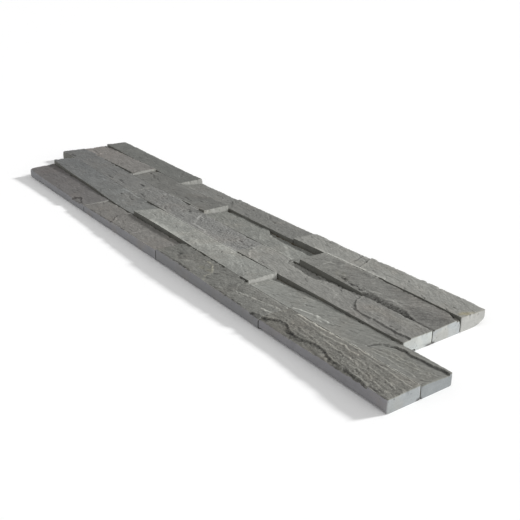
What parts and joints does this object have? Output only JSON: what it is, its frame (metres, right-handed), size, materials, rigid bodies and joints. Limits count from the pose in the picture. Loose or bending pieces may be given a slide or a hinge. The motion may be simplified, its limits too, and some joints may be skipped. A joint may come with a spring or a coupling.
{
  "type": "slate ledger panel",
  "caption": "Flat cladding panel of riven slate strips glued edge to edge in staggered rows, with stepped ends that interlock with the next panel.",
  "frame": {"origin": "centre of the panel's box, on the back face that the panel lies on", "axes": "+X along the rows, +Y from the front row to the broken back edge, +Z out of the riven face"},
  "size_m": [0.646, 0.1474, 0.0164],
  "materials": {
    "slate": "riven top, sawn sides",
    "adhesive": "cured resin"
  },
  "bodies": {
    "root": {"row_1_strip_1": "slate", "row_1_strip_2": "slate", "row_1_strip_3": "slate", "row_1_strip_4": "slate", "row_2_strip_1": "slate", "row_2_strip_2": "slate", "row_2_strip_3": "slate", "row_3_strip_1": "slate", "row_3_strip_2": "slate", "row_3_strip_3": "slate", "row_4_strip_1": "slate", "row_4_strip_2": "slate", "row_4_strip_3": "slate", "row_4_strip_4": "slate", "row_5_strip_1": "slate", "row_5_strip_2": "slate", "row_5_strip_3": "slate", "adhesive_bed_1_2": "adhesive", "adhesive_bed_2_3": "adhesive", "adhesive_bed_3_4": "adhesive", "adhesive_bed_4_5": "adhesive"}
  },
  "joints": []
}
